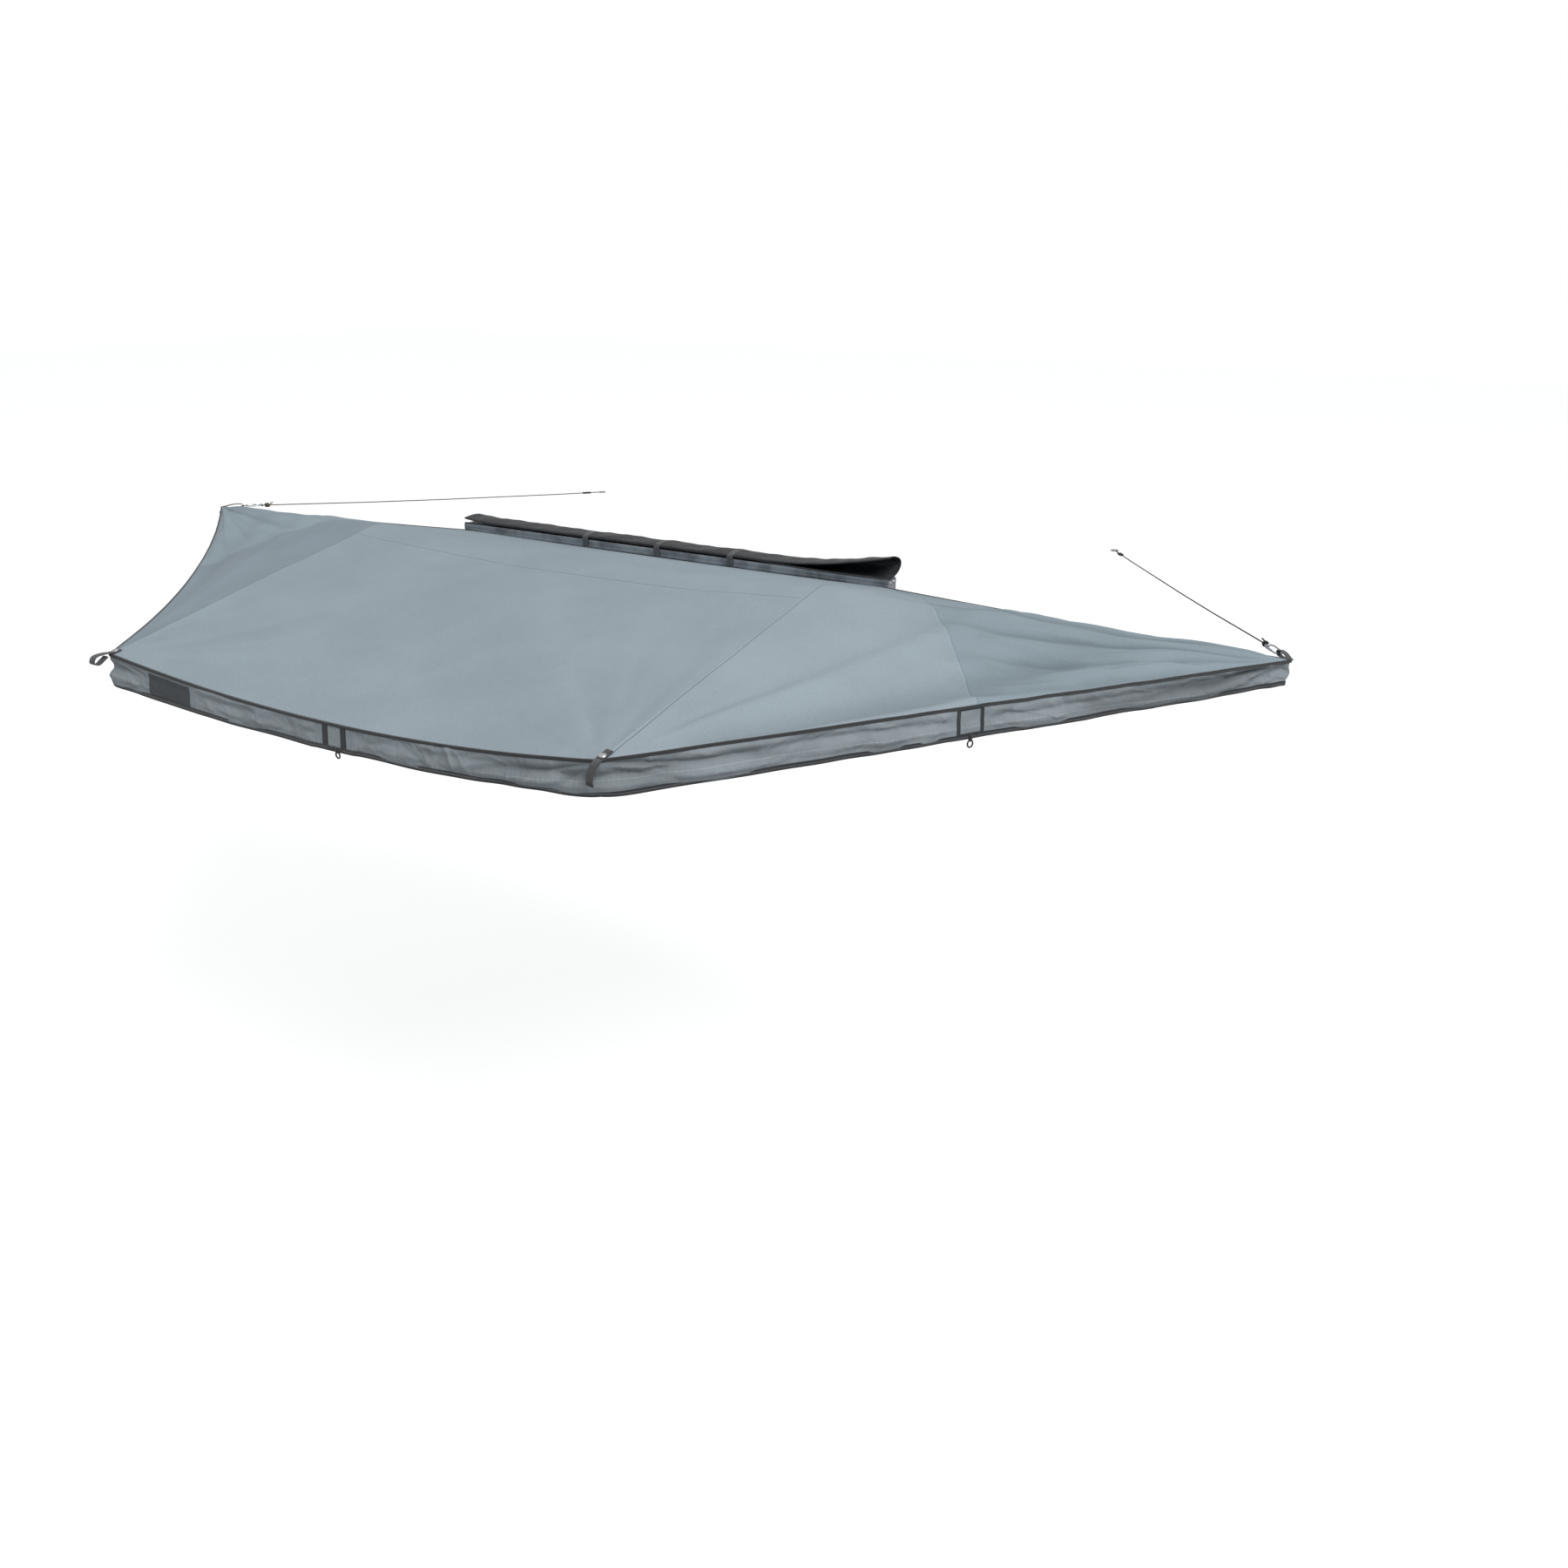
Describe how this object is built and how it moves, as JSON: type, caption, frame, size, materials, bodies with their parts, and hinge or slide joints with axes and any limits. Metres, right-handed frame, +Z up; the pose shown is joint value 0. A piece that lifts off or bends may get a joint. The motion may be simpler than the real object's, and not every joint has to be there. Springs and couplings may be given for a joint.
{
  "type": "vehicle side awning",
  "caption": "Free-standing 180 degree vehicle side awning, open: rail, two hubs, four folding rafters with stowed legs, blue-grey canopy with valance, cover and two tension cords.",
  "frame": {"origin": "centre of the rail's back face, which bolts to the roof rack", "axes": "+X along the rail towards the vehicle's front, +Y from the rail's back face towards the rack, +Z up"},
  "size_m": [4.6524, 3.3195, 0.349],
  "materials": {
    "canvas": "matte blue-grey polycotton",
    "cover_pvc": "satin black coated fabric",
    "webbing": "woven black webbing",
    "rail_aluminium": "satin anodised",
    "tube_aluminium": "mill",
    "zinc_steel": "bright zinc",
    "black_coated": "satin powder coat",
    "plastic": "fine texture",
    "rubber": "matte",
    "cord_black": "braided",
    "cord_tan": "braided"
  },
  "bodies": {
    "rail_assembly": {"rail": "rail_aluminium", "cover": "cover_pvc", "cover_strap_1": "webbing", "cover_strap_2": "webbing", "cover_strap_3": "webbing", "rear_rack_bracket": "black_coated", "rear_hub_bracket": "zinc_steel", "rear_inner_pivot_bolt": "zinc_steel", "rear_outer_pivot_bolt": "zinc_steel", "front_rack_bracket": "black_coated", "front_hub_bracket": "zinc_steel", "front_inner_pivot_bolt": "zinc_steel", "front_outer_pivot_bolt": "zinc_steel"},
    "rear_outer_rafter": {"rear_outer_arm": "tube_aluminium", "rear_outer_knuckle": "black_coated", "rear_outer_tip_bracket": "black_coated", "rear_wing_canopy": "canvas", "rear_wing_loop": "webbing", "rear_cord": "cord_tan", "rear_cord_hook": "zinc_steel", "rear_cord_runner": "plastic", "rear_anchor_ring": "zinc_steel"},
    "rear_outer_leg": {"rear_outer_leg_upper": "tube_aluminium", "rear_outer_leg_clamp": "plastic"},
    "rear_outer_leg_slider": {"rear_outer_leg_lower": "tube_aluminium", "rear_outer_leg_foot": "rubber"},
    "rear_inner_rafter": {"rear_inner_arm": "tube_aluminium", "rear_inner_knuckle": "black_coated", "rear_inner_tip_bracket": "black_coated", "rear_centre_canopy": "canvas", "rear_tip_loop": "webbing"},
    "rear_inner_leg": {"rear_inner_leg_upper": "tube_aluminium", "rear_inner_leg_clamp": "plastic"},
    "rear_inner_leg_slider": {"rear_inner_leg_lower": "tube_aluminium", "rear_inner_leg_foot": "rubber"},
    "front_outer_rafter": {"front_outer_arm": "tube_aluminium", "front_outer_knuckle": "black_coated", "front_outer_tip_bracket": "black_coated", "front_wing_canopy": "canvas", "front_wing_loop": "webbing", "front_cord": "cord_black", "front_cord_hook": "zinc_steel", "front_cord_runner": "plastic", "front_anchor_ring": "zinc_steel"},
    "front_outer_leg": {"front_outer_leg_upper": "tube_aluminium", "front_outer_leg_clamp": "plastic"},
    "front_outer_leg_slider": {"front_outer_leg_lower": "tube_aluminium", "front_outer_leg_foot": "rubber"},
    "front_inner_rafter": {"front_inner_arm": "tube_aluminium", "front_inner_knuckle": "black_coated", "front_inner_tip_bracket": "black_coated", "front_centre_canopy": "canvas", "front_tip_loop": "webbing"},
    "front_inner_leg": {"front_inner_leg_upper": "tube_aluminium", "front_inner_leg_clamp": "plastic"},
    "front_inner_leg_slider": {"front_inner_leg_lower": "tube_aluminium", "front_inner_leg_foot": "rubber"}
  },
  "joints": [
    {"name": "rear_fold", "type": "hinge", "parent": "rail_assembly", "child": "rear_outer_rafter", "pos_m": [-1, -0.1443, -0.034], "axis": [0, 0, 1], "range_deg": [0, 177.96], "deforming": ["rear_wing_canopy", "rear_centre_canopy", "rear_wing_loop", "rear_cord", "rear_cord_hook", "rear_cord_runner", "rear_anchor_ring"]},
    {"name": "rear_outer_leg_swing", "type": "hinge", "parent": "rear_outer_rafter", "child": "rear_outer_leg", "pos_m": [-2.26319, -0.1893, -0.08008], "axis": [-0.0356, 0.9994, 0], "range_deg": [0, 90.7]},
    {"name": "rear_outer_leg_draw", "type": "slide", "parent": "rear_outer_leg", "child": "rear_outer_leg_slider", "axis": [0.9993, 0.0356, 0.0122], "range_m": [0, 0.9002]},
    {"name": "rear_inner_fold", "type": "hinge", "parent": "rail_assembly", "child": "rear_inner_rafter", "pos_m": [-0.93, -0.0843, -0.034], "axis": [0, 0, 1], "range_deg": [0, 88.25]},
    {"name": "rear_inner_leg_swing", "type": "hinge", "parent": "rear_inner_rafter", "child": "rear_inner_leg", "pos_m": [-0.87998, -1.72037, -0.12814], "axis": [-0.9995, -0.0306, 0], "range_deg": [0, 99.07]},
    {"name": "rear_inner_leg_draw", "type": "slide", "parent": "rear_inner_leg", "child": "rear_inner_leg_slider", "axis": [-0.0302, 0.987, 0.1577], "range_m": [0, 0.9002]},
    {"name": "front_fold", "type": "hinge", "parent": "rail_assembly", "child": "front_outer_rafter", "pos_m": [1, -0.1743, -0.034], "axis": [0, 0, -1], "range_deg": [0, 179.32], "deforming": ["front_wing_canopy", "front_centre_canopy", "front_wing_loop", "front_cord", "front_cord_hook", "front_cord_runner", "front_anchor_ring"]},
    {"name": "front_outer_leg_swing", "type": "hinge", "parent": "front_outer_rafter", "child": "front_outer_leg", "pos_m": [2.26327, -0.18932, -0.08008], "axis": [-0.0119, -0.9999, 0], "range_deg": [0, 90.7]},
    {"name": "front_outer_leg_draw", "type": "slide", "parent": "front_outer_leg", "child": "front_outer_leg_slider", "axis": [-0.9999, 0.0119, 0.0122], "range_m": [0, 0.9002]},
    {"name": "front_inner_fold", "type": "hinge", "parent": "rail_assembly", "child": "front_inner_rafter", "pos_m": [0.93, -0.1143, -0.034], "axis": [0, 0, -1], "range_deg": [0, 89.76]},
    {"name": "front_inner_leg_swing", "type": "hinge", "parent": "front_inner_rafter", "child": "front_inner_leg", "pos_m": [0.92346, -1.68819, -0.12784], "axis": [-1, 0.0042, 0], "range_deg": [0, 99.32]},
    {"name": "front_inner_leg_draw", "type": "slide", "parent": "front_inner_leg", "child": "front_inner_leg_slider", "axis": [0.0041, 0.9868, 0.1619], "range_m": [0, 0.9002]}
  ],
  "couplings": [
    {"joint": "rear_outer_leg_draw", "follows": "rear_outer_leg_swing", "m_per_rad": 0.56854},
    {"joint": "rear_inner_leg_draw", "follows": "rear_inner_leg_swing", "m_per_rad": 0.52049},
    {"joint": "rear_inner_fold", "follows": "rear_fold", "ratio": 0.49589},
    {"joint": "front_outer_leg_draw", "follows": "front_outer_leg_swing", "m_per_rad": 0.56854},
    {"joint": "front_inner_leg_draw", "follows": "front_inner_leg_swing", "m_per_rad": 0.5192},
    {"joint": "front_inner_fold", "follows": "front_fold", "ratio": 0.50057}
  ]
}
